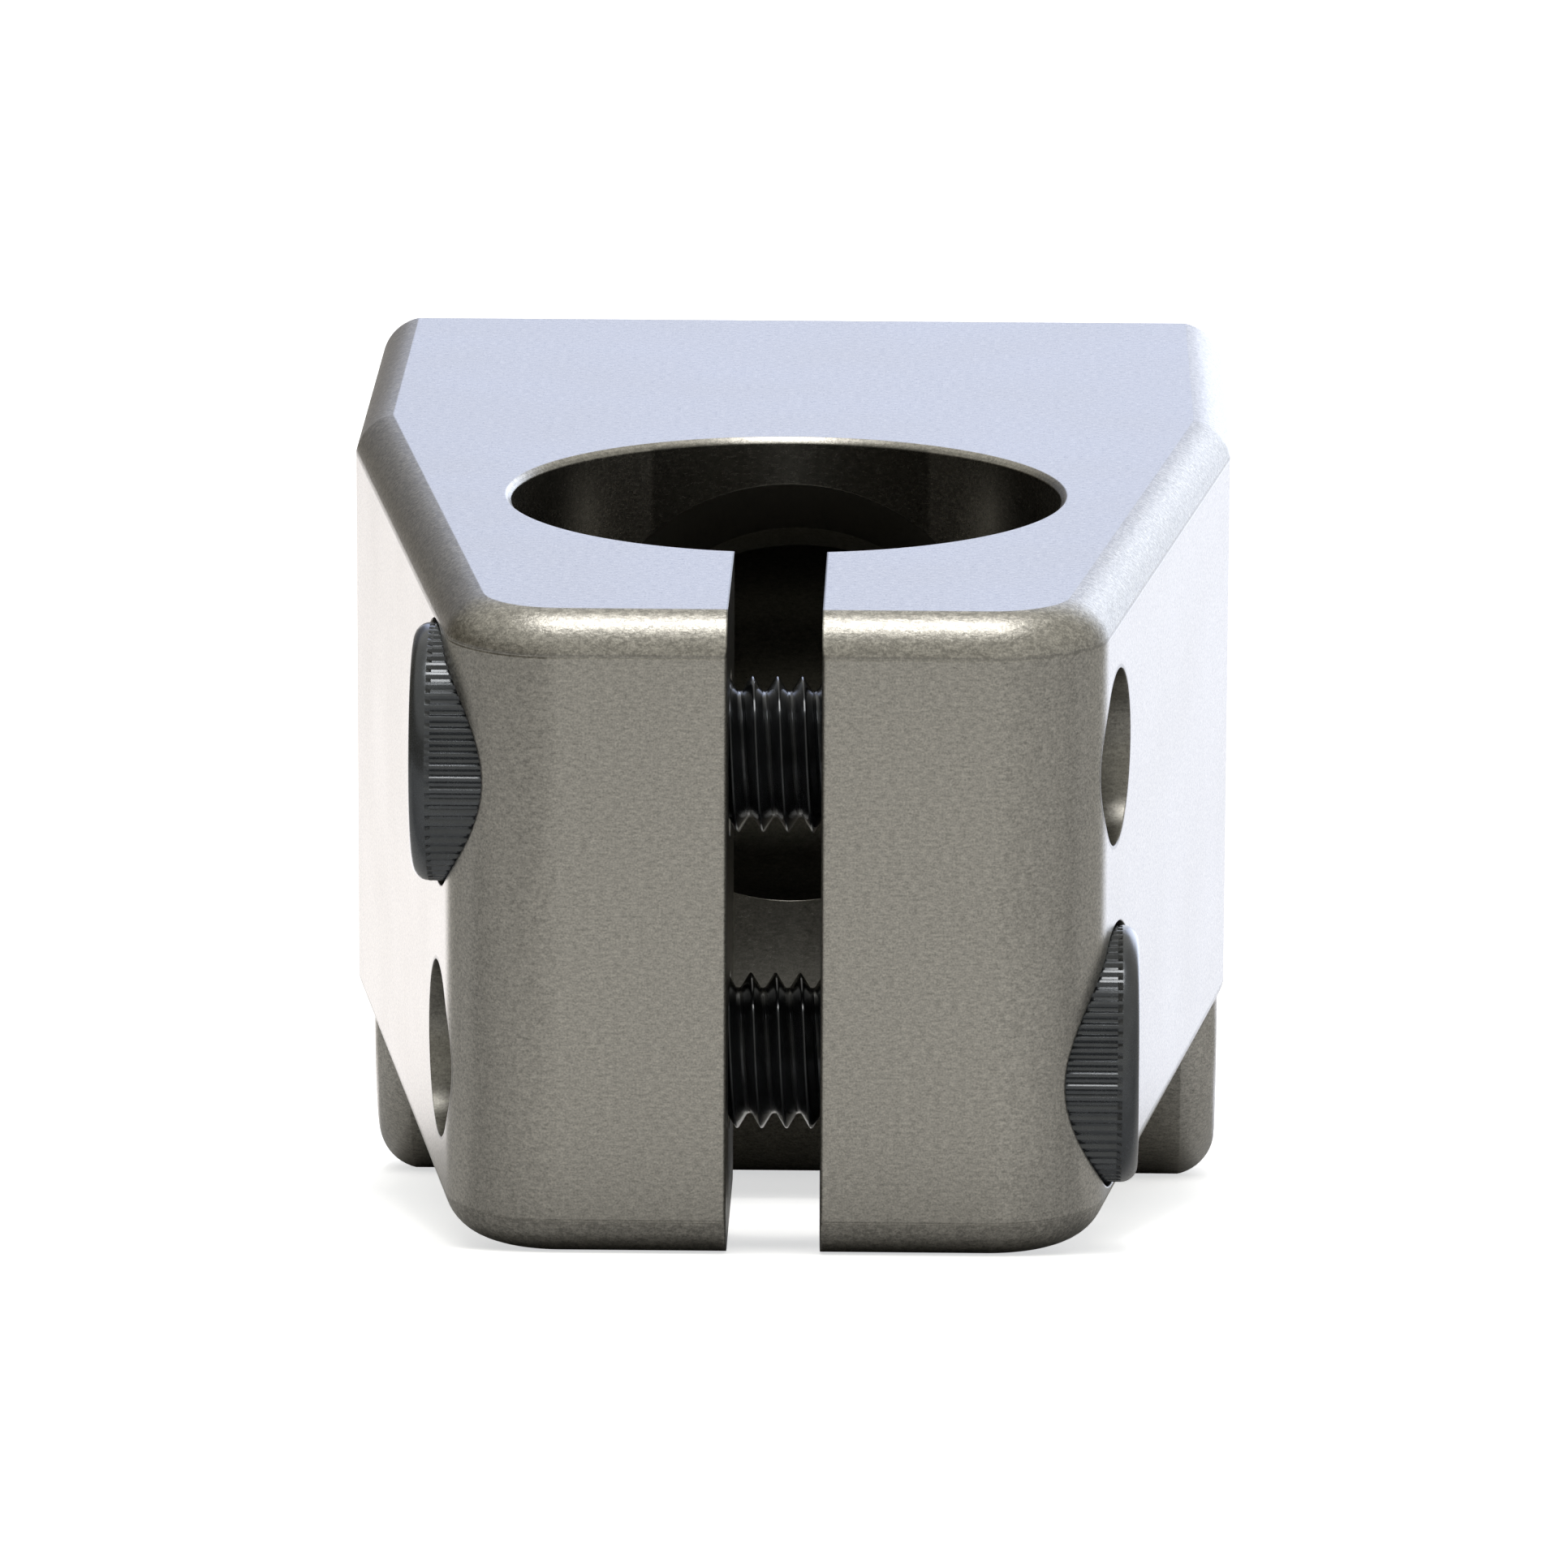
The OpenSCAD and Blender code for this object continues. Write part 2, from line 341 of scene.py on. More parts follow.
def anodised_metal(finishes, size):
    """Bead-blasted, anodised aluminium with coarser rims, and painted shade in its bores, slot,
    holes and core.
    """
    material = bpy.data.materials.new("anodised_aluminium")
    graph = Graph(material)
    at = graph.place()
    x, y, z = graph.axes(at)
    up = abs(graph.axes(graph.node("NewGeometry", {}, out="Normal"))[2])
    height = abs(z)
    out = across(x, y)

    top, front = BODY_HIGH.z / MM, BODY_HIGH.y / MM
    tangent_z = top - size.edge_r  # where the rounded rim meets the upright faces
    bar_back = BAR_PLACE.y - size.bar_r
    screw = screw_place(STEERER_SCREWS[0])

    outside = out.band(size.steerer_r + 0.7, size.steerer_r + 1.1) * y.within(front, -0.4, -0.1)
    rim = outside * height.band(tangent_z - 0.08, tangent_z + 0.04) * height.within(top, 0.05, 0.2)
    rim = rim * up.within(1.0, -0.015, -0.002)
    line = outside * height.band(tangent_z - 0.16, tangent_z - 0.04)
    line = line * height.within(tangent_z, 0.02, 0.12) * up.within(0.0, 0.6, 0.8)
    bore = out.within(size.steerer_r, 0.1, 0.2)
    core = y.band(size.steerer_r - 2.3, size.steerer_r - 1.9) * y.within(bar_back, -0.1, 0.3)
    core = core * abs(x).within(size.core_r, 0.1, 0.25) * height.within(top, -0.3, -0.1)
    hole = across(y - screw.y, height - screw.z).within(size.relief_r, 0.12, 0.24)
    clamp = across(y - BAR_PLACE.y, z - BAR_PLACE.z).within(size.bar_r, 0.05, 0.2)
    slot = abs(x).within(size.slot_w / 2, 0.03, 0.11) * y.within(-size.steerer_r, 0.0, 0.3)
    # Painted shade: the steerer bore above its lowest part, the slot, the exit holes, the core and
    # the handlebar bore are darkened.
    painted_upper_bore_shade = bore * z.band(-11.0, -8.0)
    painted_shade_mask = (painted_upper_bore_shade * 0.45).most(slot * 0.9).most(hole * 0.6).most(core).most(clamp)

    soft = graph.node("Bevel", {"samples": 4}, out="Normal", Radius=0.12 * MM)
    grain = graph.noise(at, 5.0, 3.0, 0.7, (0.5, 1, 1.2))
    fine = graph.noise(at, 10.0, 2.0, 0.6)
    cloud = graph.noise(at, 0.12, 2.0, 0.5)
    chatter = graph.noise(at, 3.4, 5.0, 0.75, (1, 1, 1.4))

    tone = cloud.swing(0.12) + grain.swing(1.9) + fine.swing(1.7)
    tone = tone - line * 0.30 + rim * (chatter.swing(2.6) - 0.10)
    base = tuple(finishes.anodised)
    dark = tuple(value * 0.66 for value in base)
    light = tuple(value * 1.34 for value in base)
    shade = graph.blend((tone + 0.5).clamped(), dark, light)
    # Painted shade: the recesses are blended towards the dark bore colour.
    shade = graph.blend(painted_shade_mask * 0.72, shade, tuple(finishes.bore))
    rough = finishes.anodised_rough + cloud.swing(0.05) + grain.swing(0.12)
    rough = rough + rim * (0.03 + chatter.swing(0.16)) - bore * 0.04
    relief = (grain * 0.7 + fine * 0.4) * (1 - painted_shade_mask * 0.7) + rim * chatter * 2.4 - line * 1.6
    normal = graph.bump(relief, 0.5, 0.02, soft)
    surface(graph, Base_Color=shade, Metallic=1.0, Roughness=rough, Normal=normal)
    return material


def black_oxide(finishes, size):
    """Blackened steel: oily and glossy on the threads, drier on the heads, with painted shade
    making the threads darker than the heads.
    """
    material = bpy.data.materials.new("black_oxide_steel")
    graph = Graph(material)
    at = graph.place()
    x, y, z = graph.axes(at)
    plate_seat = screw_place(PLATE_SCREWS[0]).y
    steerer_head = abs(x).band(size.seat - 0.2, size.seat) * y.within(0.0, 0.0, 1.0)
    head_painted_lighter = steerer_head.most(y.band(plate_seat - 0.2, plate_seat))
    soft = graph.node("Bevel", {"samples": 4}, out="Normal", Radius=0.05 * MM)
    mottle = graph.noise(at, 0.9, 4.0, 0.6)
    fine = graph.noise(at, 12.0, 3.0, 0.6)
    base = tuple(finishes.black)
    dark = tuple(value * 0.35 for value in base)
    light = tuple(value * 2.1 for value in base)
    # Painted shade: the threads are darker and the heads lighter.
    tone = (mottle * 0.5 + fine * 0.25 + head_painted_lighter * 0.46 - 0.12).clamped()
    shade = graph.blend(tone, dark, light)
    rough = finishes.black_rough + mottle.swing(0.10) + fine.swing(0.08) + head_painted_lighter * 0.07
    normal = graph.bump(fine, 0.18, 0.02, soft)
    surface(graph, Base_Color=shade, Metallic=0.85, Roughness=rough, Normal=normal,
            Coat_Weight=0.6, Coat_Roughness=0.08)
    return material


def matt_white():
    """The studio floor."""
    material = bpy.data.materials.new("studio_white")
    graph = Graph(material)
    surface(graph, Base_Color=(0.93, 0.93, 0.93, 1.0), Roughness=0.9, Specular_IOR_Level=0.2,
            Emission_Color=(0.98, 0.99, 1.0, 1.0), Emission_Strength=0.60)
    return material


def pale_glow():
    """The far backdrop."""
    material = bpy.data.materials.new("studio_glow")
    graph = Graph(material)
    surface(graph, Base_Color=(0.0, 0.0, 0.0, 1.0), Roughness=1.0, Specular_IOR_Level=0.0,
            Emission_Color=(1.0, 1.0, 1.0, 1.0), Emission_Strength=1.0)
    return material


def matt_grey(studio):
    """The same floor as the metal mirrors it, a painted reflection that is dimmer towards the
    sides.
    """
    material = bpy.data.materials.new("studio_grey")
    graph = Graph(material)
    x, y, z = graph.axes(graph.place())
    tone = studio.grey_floor
    shade = graph.blend(abs(x).band(15.0, 60.0), (tone,) * 3, (tone * 0.8,) * 3)
    # Painted shadow: the floor just before the stem is dimmer. Painted glow: the part under its
    # bore glows faintly, standing in for light through the bore.
    clear = (-y).band(18.0, 60.0) + y.band(-27.0, -21.0)
    shade = graph.blend(clear * 0.42 + 0.58, (0.0, 0.0, 0.0), shade)
    painted_glow_mask = 1 - across(x, y).band(8.0, 15.0)
    painted_glow = graph.blend(painted_glow_mask * 0.34, (0.0, 0.0, 0.0), (1.0, 0.98, 0.93))
    surface(graph, Base_Color=shade, Roughness=1.0, Specular_IOR_Level=0.0, Emission_Color=painted_glow,
            Emission_Strength=1.0)
    return material


MATERIALS = {}


# ---------------------------------------------------------------- meshes, in millimetres


def turn(start, end, steps):
    """Angles in radians from start to end, both given in degrees."""
    return [math.radians(start + (end - start) * step / steps) for step in range(steps + 1)]


def corner(centre, radius, start, end, steps=20, hollow=False):
    """A rounded corner of an outline, as a function of how far the outline is inset."""
    def points(inset):
        r = radius + inset if hollow else radius - inset
        return [
            (centre[0] + r * math.cos(a), centre[1] + r * math.sin(a))
            for a in turn(start, end, steps)
        ]
    return points


def sharp(place, slide=(0, 0)):
    """A sharp corner of an outline, which slides as the outline is inset."""
    return lambda inset: [(place[0] + slide[0] * inset, place[1] + slide[1] * inset)]


def tangent(small, small_r, large, large_r):
    """Angle in degrees of the normal of the line that touches two circles on their +u side."""
    du, dv = large[0] - small[0], large[1] - small[1]
    between = math.acos((small_r - large_r) / math.hypot(du, dv))
    return math.degrees(math.atan2(dv, du) - between)


def along_x(points, w):
    """Points of an outline in (y, z), placed at x = w."""
    return [(w, u, v) for u, v in points]


def along_z(points, w):
    """Points of an outline in (x, y), placed at z = w."""
    return [(u, v, w) for u, v in points]


def skin(rings, mesh=None):
    """A closed shell through rings of equal length, with flat ends, added to a mesh if given."""
    mesh = bmesh.new() if mesh is None else mesh
    rows = [[mesh.verts.new(point) for point in ring] for ring in rings]
    count = len(rows[0])
    for low, high in zip(rows, rows[1:]):
        for here in range(count):
            there = (here + 1) % count
            mesh.faces.new((low[here], low[there], high[there], high[here]))
    mesh.faces.new(rows[0][::-1])
    mesh.faces.new(rows[-1])
    return mesh


def rounded_prism(corners, low, high, rim, place, steps=10):
    """A prism of an outline between two heights, with both rims rounded."""
    arcs = turn(RIM_CREASE, 90 - RIM_CREASE, steps)
    first = arcs[0]
    r = rim / (math.cos(first) - math.sin(first))
    levels = [
        (r * (math.cos(first) - math.sin(a)), low + r * (math.cos(first) - math.cos(a)))
        for a in arcs
    ]
    levels += [(inset, low + high - w) for inset, w in levels[::-1]]
    return skin([
        place([point for part in corners for point in part(inset)], w) for inset, w in levels
    ])


def lathe(profile, matrix=Matrix.Identity(4), count=128):
    """A solid of revolution about Z through (height, radius) pairs, carried by a matrix."""
    rings = [
        [matrix @ Vector((r * math.cos(a), r * math.sin(a), w)) for a in turn(0, 360, count)[:-1]]
        for w, r in profile
    ]
    return skin(rings)


def axis_matrix(direction, place=(0, 0, 0)):
    """Carries +Z onto a direction, through a place."""
    turned = Vector(direction).to_track_quat("Z", "Y").to_matrix().to_4x4()
    return Matrix.Translation(place) @ turned


def as_object(mesh, name):
    """A bmesh as an object in the scene."""
    bmesh.ops.recalc_face_normals(mesh, faces=mesh.faces)
    data = bpy.data.meshes.new(name)
    mesh.to_mesh(data)
    mesh.free()
    made = bpy.data.objects.new(name, data)
    bpy.context.scene.collection.objects.link(made)
    return made


def carve(body, operation, tool):
    """Joins a tool mesh to a body, or cuts it away."""
    made = as_object(tool, "tool")
    modifier = body.modifiers.new("carve", "BOOLEAN")
    modifier.operation = operation
    modifier.solver = "EXACT"
    modifier.object = made
    graph = bpy.context.evaluated_depsgraph_get()
    data = bpy.data.meshes.new_from_object(body.evaluated_get(graph))
    body.modifiers.clear()
    spent = (body.data, made.data)
    body.data = data
    bpy.data.objects.remove(made)
    for mesh in spent:
        bpy.data.meshes.remove(mesh)


def dress(piece, body, material, nodes, crease=9.0, weighted=True):
    """Brings a finished piece to metres, gives it its finish and ties it to its CAD body."""
    data = piece.data
    data.transform(Matrix.Scale(MM, 4))
    mesh = bmesh.new()
    mesh.from_mesh(data)
    bmesh.ops.remove_doubles(mesh, verts=mesh.verts, dist=1e-7)
    bmesh.ops.dissolve_degenerate(mesh, edges=mesh.edges, dist=1e-8)
    bmesh.ops.recalc_face_normals(mesh, faces=mesh.faces)
    for face in mesh.faces:
        face.smooth = True
    limit = math.radians(crease)
    for edge in mesh.edges:
        edge.smooth = len(edge.link_faces) == 2 and edge.calc_face_angle(math.pi) < limit
    mesh.to_mesh(data)
    mesh.free()
    data.materials.clear()
    data.materials.append(MATERIALS[material])
    if weighted:
        modifier = piece.modifiers.new("weighted_normals", "WEIGHTED_NORMAL")
        modifier.keep_sharp = True
    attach(piece, body)
    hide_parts(*nodes)


# ---------------------------------------------------------------- pieces


def flared_block(size):
    """The block that holds the steerer, flaring towards the handlebar."""
    top, rear, front = BODY_HIGH.z / MM, BODY_LOW.y / MM, BODY_HIGH.y / MM
    half = BODY_HIGH.x / MM
    flare = size.group.flare
    lean = math.degrees(flare)
    corner_y = rear + size.corner_r
    corner_x = size.rear_half_w - size.corner_r / math.cos(flare)
    blend_x = half - size.blend_r
    shift = half - size.blend_r + size.blend_r / math.cos(flare) - size.rear_half_w
    blend_y = corner_y + shift / math.tan(flare)
    corners = [
        corner((-corner_x, corner_y), size.corner_r, 180 + lean, 270, 24),
        corner((corner_x, corner_y), size.corner_r, 270, 360 - lean, 24),
        corner((blend_x, blend_y), size.blend_r, 360 - lean, 360, 5),
        sharp((half, front), (-1, 0)),
        sharp((-half, front), (1, 0)),
        corner((-blend_x, blend_y), size.blend_r, 180, 180 + lean, 5),
    ]
    return rounded_prism(corners, -top, top, size.edge_r, along_z)


def clamp_lobe(size):
    """The lower half of the handlebar clamp with its hollow web."""
    under, front = -BODY_HIGH.z / MM, BODY_HIGH.y / MM
    bottom, half = BODY_LOW.z / MM, BODY_HIGH.x / MM
    back = front - size.lobe_t
    hollow = size.hollow_r
    corners = [
        corner((back + size.lobe_r, bottom + size.lobe_r), size.lobe_r, 180, 270, 24),
        sharp((front, bottom), (0, 1)),
        sharp((front, under + 2 * hollow)),
        sharp((back - hollow, under + 2 * hollow)),
        corner((back - hollow, under - hollow), hollow, 90, 0, 16, hollow=True),
    ]
    return rounded_prism(corners, -half, half, size.edge_r, along_x)


def slot_cutter(size):
    """The upright slot from the steerer bore to the rear face."""
    half, chamfer, rear = size.slot_w / 2, size.deburr / 2, BODY_LOW.y / MM
    reach, past = BODY_HIGH.z / MM + 5, 5.0
    outline = [
        (-half, 0), (-half, rear + chamfer), (-half - chamfer - past, rear - past),
        (half + chamfer + past, rear - past), (half, rear + chamfer), (half, 0),
    ]
    return skin([along_z(outline, -reach), along_z(outline, reach)])


def chamfered_bore(radius, half_length, chamfer, matrix):
    """A through bore with a chamfer at each end."""
    past = 5.0
    profile = [
        (-half_length - past, radius + chamfer + past), (-half_length + chamfer, radius),
        (half_length - chamfer, radius), (half_length + past, radius + chamfer + past),
    ]
    return lathe(profile, matrix, 192)


def bar_cutter(size):
    """The handlebar bore."""
    half = BODY_HIGH.x / MM
    return chamfered_bore(size.bar_r, half, 2 * size.deburr, axis_matrix((1, 0, 0), BAR_PLACE))


def core_cutter(size):
    """The lightening core from the handlebar bore into the steerer bore."""
    rise = size.group.core_rise
    matrix = axis_matrix((0, -math.cos(rise), math.sin(rise)), BAR_PLACE)
    taper = 0.9  # by how much the core widens up to the steerer's axis
    return lathe([(0, size.core_r), (BAR_PLACE.y, size.core_r + taper)], matrix, 128)


def screw_axis(name):
    """Carries +Z onto the axis of a screw, towards its head, from the joint's place."""
    return axis_matrix(JOINTS[name + "_turn"]["axis"], screw_place(name))


def steerer_screw_cutter(size, name):
    """Counterbore, clearance hole, tapped hole and plain exit hole of a steerer screw."""
    far = BODY_HIGH.x / MM + 5
    tapped, clear, sunk = 4.0, 4.25, 6.75
    profile = [
        (-far, size.relief_r), (-size.tap_end, size.relief_r), (-size.tap_end, tapped),
        (0, tapped), (0, clear), (size.seat, clear), (size.seat, sunk), (far, sunk),
    ]
    return lathe(profile, screw_axis(name), 128)


class STEM_OT_body(bpy.types.Operator):
    """Machine the stem body from one block"""

    bl_idname = "stem.body"
    bl_label = "Stem body"

    def execute(self, context):
        size = Millimetres(context.scene.stem_sizes)
        body = as_object(flared_block(size), "stem_body_machined")
        carve(body, "UNION", clamp_lobe(size))
        bore = chamfered_bore(size.steerer_r, BODY_HIGH.z / MM, size.deburr, Matrix.Identity(4))
        carve(body, "DIFFERENCE", bore)
        carve(body, "DIFFERENCE", slot_cutter(size))
        carve(body, "DIFFERENCE", bar_cutter(size))
        carve(body, "DIFFERENCE", core_cutter(size))
        for name in STEERER_SCREWS:
            carve(body, "DIFFERENCE", steerer_screw_cutter(size, name))
        tapped, past = 3.0, 1.0
        front = BODY_HIGH.y / MM - screw_place(PLATE_SCREWS[0]).y
        profile = [(front - size.tap_depth, tapped), (front + past, tapped)]
        for name in PLATE_SCREWS:
            carve(body, "DIFFERENCE", lathe(profile, screw_axis(name), 64))
        dress(body, "stem", "anodised", ["stem_body"])
        return {"FINISHED"}


class STEM_OT_faceplate(bpy.types.Operator):
    """Machine the faceplate that holds the handlebar"""

    bl_idname = "stem.faceplate"
    bl_label = "Faceplate"

    def execute(self, context):
        plate, size = Millimetres(context.scene.stem_plate), Millimetres(context.scene.stem_sizes)
        bar = BAR_PLACE
        back, half = PLATE_LOW.y / MM, PLATE_HIGH.x / MM
        tall = (PLATE_HIGH.z - PLATE_LOW.z) / 2 / MM
        flank = plate.flank_r
        stand = 1.0  # how far the flanks stand past the screw seats
        flank_y = back + plate.seat_t + stand - flank
        low, high = (flank_y, bar.z - tall + flank), (flank_y, bar.z + tall - flank)
        lean = tangent(low, flank, (bar.y, bar.z), plate.crown_r)
        corners = [
            sharp((back, bar.z - tall), (0, 1)),
            corner(low, flank, -90, lean, 14),
            corner((bar.y, bar.z), plate.crown_r, lean, -lean, 24),
            corner(high, flank, -lean, 90, 14),
            sharp((back, bar.z + tall), (0, -1)),
        ]
        plain = rounded_prism(corners, -half, half, plate.rim, along_x)
        piece = as_object(plain, "faceplate_machined")
        carve(piece, "DIFFERENCE", bar_cutter(size))
        clear, sunk, far = 3.25, 5.25, 20.0
        profile = [(-far, clear), (0, clear), (0, sunk), (far, sunk)]
        for name in PLATE_SCREWS:
            carve(piece, "DIFFERENCE", lathe(profile, screw_axis(name), 96))
        dress(piece, "faceplate", "anodised", ["faceplate"])
        return {"FINISHED"}


# Lengths in millimetres. Teeth is the number of knurls around the head, and also of steps in
# each turn of the thread.
ScrewForm = namedtuple("ScrewForm", "thread_d pitch head_d head_h flats socket length teeth")
M8_FORM = ScrewForm(
    thread_d=7.86, pitch=1.25, head_d=13.0, head_h=8.0, flats=6.0, socket=4.0, length=25.0, teeth=66
)
M6_FORM = ScrewForm(
    thread_d=5.86, pitch=1.0, head_d=10.0, head_h=6.0, flats=5.0, socket=3.0, length=20.0, teeth=51
)
THREAD_DEPTH = 0.613  # of the pitch
NECK = 0.8  # plain length under the head
LEAD_IN = 0.2  # how far the thread's two ends go below its root
NECK_SLOPE = 1.2  # how steeply the thread runs out at the neck
KNURL = 0.17  # depth of the knurls
HEAD_RIM = 0.85  # rounding of the head's rim

# Place along one pitch, and height from root 0 to crest 1
THREAD_FORM = (
    (0.00, 0.00), (0.09, 0.05), (0.14, 0.16), (0.43, 0.94), (0.47, 1.00), (0.53, 1.00),
    (0.57, 0.94), (0.86, 0.16), (0.91, 0.05),
)


def wind_thread(mesh, form, tip, neck):
    """Winds the shank as one strip up its helix, so each crest is a clean edge."""
    crest, depth, teeth = form.thread_d / 2, THREAD_DEPTH * form.pitch, form.teeth
    strip = []
    for lap in range(-1, math.ceil((neck - tip) / form.pitch) + 1):
        for step in range(teeth):
            a = math.tau * step / teeth
            column = []
            for along, lift in THREAD_FORM:
                w = tip + (lap + along + step / teeth) * form.pitch
                w = min(max(w, tip), neck)
                end = min(w - tip, NECK_SLOPE * (neck - w))
                r = min(crest - depth * (1 - lift), crest - depth - LEAD_IN + end)
                column.append(mesh.verts.new((r * math.cos(a), r * math.sin(a), w)))
            strip.append(column)
    for index, (here, there) in enumerate(zip(strip, strip[1:])):
        for part in range(len(THREAD_FORM) - 1):
            mesh.faces.new((here[part], there[part], there[part + 1], here[part + 1]))
        if index + teeth + 1 < len(strip):
            above, beyond = strip[index + teeth], strip[index + teeth + 1]
            mesh.faces.new((here[-1], there[-1], beyond[0], above[0]))
    bmesh.ops.remove_doubles(mesh, verts=mesh.verts, dist=1e-4)
    bmesh.ops.dissolve_degenerate(mesh, edges=mesh.edges, dist=1e-4)
    loose = [vert for vert in mesh.verts if not vert.link_faces]
    bmesh.ops.delete(mesh, geom=loose, context="VERTS")
    bmesh.ops.holes_fill(mesh, edges=[edge for edge in mesh.edges if edge.is_boundary], sides=0)


def ring(count, height, radius):
    """Points of a ring; the radius is a number, or a function of the step and its angle."""
    points = []
    for step in range(count):
        a = math.tau * step / count
        r = radius(step, a) if callable(radius) else radius
        points.append((r * math.cos(a), r * math.sin(a), height))
    return points


def turn_head(mesh, form, neck, seat):
    """Adds the head as its own closed shell, sunk a little into the shank."""
    crest, head_r, half_flats = form.thread_d / 2, form.head_d / 2, form.flats / 2
    root = crest - THREAD_DEPTH * form.pitch
    top = seat + form.head_h

    def toothed(step, _):
        return head_r - KNURL * (step % 4 > 1)

    def hexagon(_, a):
        return half_flats / math.cos((a + math.pi / 6) % (math.pi / 3) - math.pi / 6)

    rows = [
        (neck - 0.4, root - 0.3), (neck, root - 0.25), (seat - 0.25, crest + 0.1),
        (seat, crest + 0.35), (seat, head_r - 0.35), (seat + 0.2, head_r - 0.12),
        (seat + 0.34, head_r), (seat + 0.52, toothed), (top - HEAD_RIM - 0.25, toothed),
        (top - HEAD_RIM, head_r),
    ]
    rows += [
        (top - HEAD_RIM * (1 - math.sin(a)), head_r - HEAD_RIM * (1 - math.cos(a)))
        for a in turn(12, 90, 6)
    ]
    rows += [
        (top, half_flats / math.cos(math.pi / 6) + 0.25), (top - 0.25, hexagon),
        (top - form.socket, hexagon), (top - form.socket - 0.35, half_flats * 0.55),
        (top - form.socket - 0.8, 0.25),
    ]
    skin([ring(4 * form.teeth, height, radius) for height, radius in rows], mesh)


def cap_screw(name, form, seat):
    """Builds a socket head cap screw and places it on its joint's axis."""
    mesh = bmesh.new()
    wind_thread(mesh, form, seat - form.length, seat - NECK)
    turn_head(mesh, form, seat - NECK, seat)
    piece = as_object(mesh, name + "_threaded")
    piece.data.transform(screw_axis(name))
    dress(piece, name, "black", [name], crease=24.0, weighted=False)


class STEM_OT_steerer_screws(bpy.types.Operator):
    """Make the two screws that draw up the steerer clamp"""

    bl_idname = "stem.steerer_screws"
    bl_label = "Steerer screws"

    def execute(self, context):
        seat = context.scene.stem_sizes.seat / MM
        for name in STEERER_SCREWS:
            cap_screw(name, M8_FORM, seat)
        return {"FINISHED"}


class STEM_OT_faceplate_screws(bpy.types.Operator):
    """Make the four screws that hold the faceplate"""

    bl_idname = "stem.faceplate_screws"
    bl_label = "Faceplate screws"

    def execute(self, context):
        for name in PLATE_SCREWS:
            cap_screw(name, M6_FORM, 0.0)
        return {"FINISHED"}


# ---------------------------------------------------------------- stage


def floor_height(y):
    """Height of the floor, in millimetres: a gentle ramp on which the stem leans."""
    slope, offset, ramp_start, ramp_end = 0.2131, -22.52, -30.0, 60.0
    crest, run_out, apron, level_out = 3.0, 14.0, 0.06, 70.0
    if y < ramp_start:
        back = ramp_start - y
        rise = min(back, crest)
        fall = min(max(back - crest, 0), run_out)
        rest = max(back - crest - run_out, 0)
        lift = slope * (rise - rise * rise / (2 * crest))
        return offset - slope * ramp_start + lift - apron * (fall * fall / (2 * run_out) + rest)
    if y > ramp_end:
        ahead = min(y - ramp_end, level_out)
        return offset - slope * (ramp_end + ahead - ahead * ahead / (2 * level_out))
    return offset - slope * y


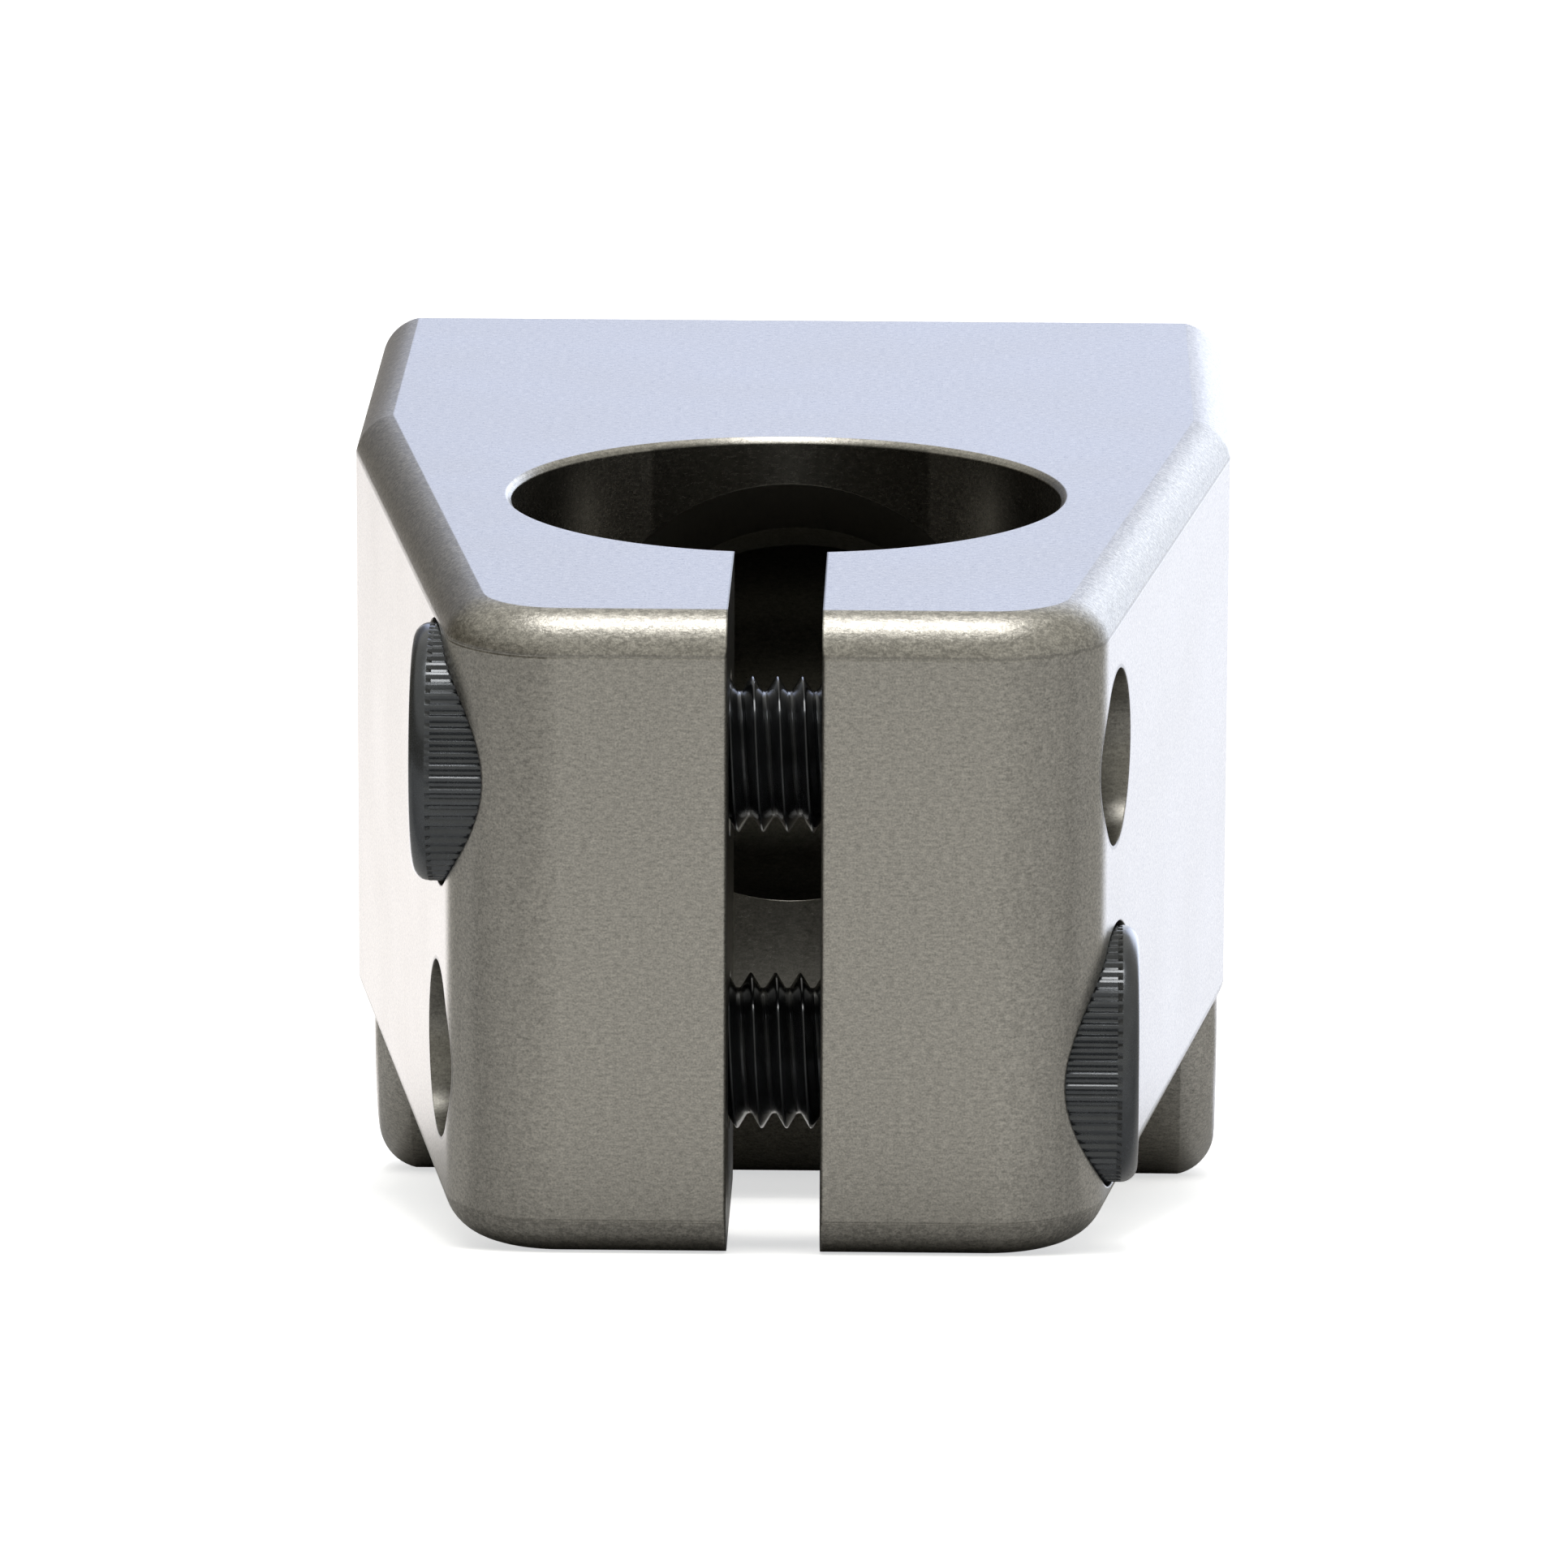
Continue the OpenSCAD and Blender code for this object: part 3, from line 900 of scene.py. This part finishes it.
class STEM_OT_stage(bpy.types.Operator):
    """Lay the pale floor, light it softly and place the camera"""

    bl_idname = "stem.stage"
    bl_label = "Stage"

    def execute(self, context):
        self.floor()
        self.light(context)
        self.camera(context)
        context.scene.view_settings.view_transform = "Standard"
        return {"FINISHED"}

    def floor(self):
        """A white floor, its dimmer twin that only the metal mirrors, and a far backdrop."""
        far = 4000.0
        near = [-47.0, -44.0, -41.0, -38.0, -35.5, *range(-34, -29), 0.0, 30.0, 60.0]
        beyond = [*range(65, 135, 5), 400.0, 1500.0, far]
        places = [-far, -1000.0, -200.0, *near, *beyond]
        white = self.strip("studio_floor", places, far, 0.0, "white")
        white.visible_glossy = False
        twin = self.strip("studio_floor_mirrored", [-600.0, -200.0, *near], 400.0, 0.02, "grey")
        twin.visible_camera = twin.visible_diffuse = twin.visible_shadow = False
        mesh = bmesh.new()
        bmesh.ops.create_icosphere(mesh, subdivisions=4, radius=4.6)
        dome = self.staged(mesh, "studio_backdrop", "glow")
        dome.visible_glossy = dome.visible_diffuse = dome.visible_shadow = False

    def strip(self, name, places, half, lift, material):
        """A floor through the given places along Y, half wide each way."""
        mesh = bmesh.new()
        rows = []
        for y in places:
            height = floor_height(y) + lift
            rows.append([mesh.verts.new((x * MM, y * MM, height * MM)) for x in (-half, half)])
        for near, beyond in zip(rows, rows[1:]):
            mesh.faces.new((near[0], near[1], beyond[1], beyond[0])).smooth = True
        return self.staged(mesh, name, material)

    def staged(self, mesh, name, material):
        """A mesh as a part of the stage."""
        made = as_object(mesh, name)
        made.data.materials.append(MATERIALS[material])
        return made

    def light(self, context):
        """A bright far side, a dim room and two soft lamps above."""
        studio = context.scene.stem_studio
        world = bpy.data.worlds.new("studio_world")
        context.scene.world = world
        graph = Graph(world)
        x, y, z = graph.axes(graph.node("TexCoord", {}, out="Generated"))
        ahead = (y / (across(x, y) + 0.001)).band(0.77, 0.93)
        above = z.band(-0.04, 0.10)
        level = z.band(-0.21, -0.13) * (1 - z.band(0.30, 0.55))
        screen = level * (-x).band(0.04, 0.24)
        beside = abs(x).band(0.35, 0.85) * (1 - z.band(0.1, 0.5))
        under = 1 - z.band(-0.9, -0.35)
        room = graph.blend(beside * 0.45, tuple(studio.room), (0.16, 0.16, 0.165))
        room = graph.blend(under * 0.85, room, (0.02, 0.02, 0.02))
        low = graph.blend(x.band(-0.2, 0.2), tuple(studio.table), (1.50, 1.56, 1.76))
        bright = graph.blend(above, low, tuple(studio.window))
        bright = graph.blend(level * x.band(0.06, 0.34), bright, (1.95, 2.12, 2.50))
        bright = graph.blend(z.band(0.28, 0.5), bright, (0.55, 0.54, 0.50))
        shade = graph.blend(ahead, room, bright)
        shade = graph.blend(screen * 0.9, shade, tuple(studio.screen))
        graph.node("OutputWorld", {}, graph.node("Background", {}, shade, 1.0))
        self.lamp(context, "soft_lamp", (0.0, -0.03, 1.0), 0.36, studio.lamp_power)
        fill = self.lamp(context, "floor_lamp", (0.0, -0.2, 1.6), 1.6, studio.fill_power)
        fill.visible_glossy = False

    def lamp(self, context, name, place, size, power):
        """A square lamp that faces the stem."""
        lamp = bpy.data.lights.new(name, "AREA")
        lamp.size, lamp.energy = size, power
        lamp.color = (1.0, 0.985, 0.96)
        made = bpy.data.objects.new(name, lamp)
        made.location = place
        made.rotation_mode = "QUATERNION"
        made.rotation_quaternion = Vector(place).to_track_quat("Z", "Y")
        context.scene.collection.objects.link(made)
        return made

    def camera(self, context):
        """The camera, a little above and in front of the clamp."""
        studio = context.scene.stem_studio
        data = bpy.data.cameras.new("camera")
        data.lens, data.sensor_width = studio.focal, 36.0
        camera = bpy.data.objects.new("camera", data)
        turned = Matrix.Rotation(studio.yaw, 4, "Z")
        tilted = Matrix.Rotation(math.pi / 2 - studio.pitch, 4, "X")
        rolled = Matrix.Rotation(studio.roll, 4, "Z")
        camera.matrix_world = Matrix.Translation(studio.camera) @ turned @ tilted @ rolled
        context.scene.collection.objects.link(camera)
        context.scene.camera = camera


STEPS = (
    STEM_OT_body, STEM_OT_faceplate, STEM_OT_steerer_screws, STEM_OT_faceplate_screws,
    STEM_OT_stage,
)


class STEM_PT_panel(bpy.types.Panel):
    """Lists the steps and settings"""

    bl_idname = "STEM_PT_panel"
    bl_label = "Handlebar Stem"
    bl_space_type = "VIEW_3D"
    bl_region_type = "UI"
    bl_category = "Stem"

    def draw(self, context):
        for step in STEPS:
            self.layout.operator(step.bl_idname)
        for name, group in GROUPS.items():
            settings = getattr(context.scene, name)
            box = self.layout.box()
            for setting in group.__annotations__:
                box.prop(settings, setting)


def register():
    """Registers the settings, the steps and the panel."""
    for name, group in GROUPS.items():
        bpy.utils.register_class(group)
        setattr(bpy.types.Scene, name, bpy.props.PointerProperty(type=group))
    for step in (*STEPS, STEM_PT_panel):
        bpy.utils.register_class(step)


def unregister():
    """Takes everything out again."""
    for step in (STEM_PT_panel, *STEPS[::-1]):
        bpy.utils.unregister_class(step)
    for name, group in GROUPS.items():
        delattr(bpy.types.Scene, name)
        bpy.utils.unregister_class(group)


def main():
    """Builds every piece and the studio."""
    register()
    scene = bpy.context.scene
    finishes, size = scene.stem_finishes, Millimetres(scene.stem_sizes)
    MATERIALS.update(
        anodised=anodised_metal(finishes, size), black=black_oxide(finishes, size),
        white=matt_white(), grey=matt_grey(scene.stem_studio), glow=pale_glow(),
    )
    for step in STEPS:
        area, name = step.bl_idname.split(".")
        getattr(getattr(bpy.ops, area), name)()


if __name__ == "__main__":
    main()
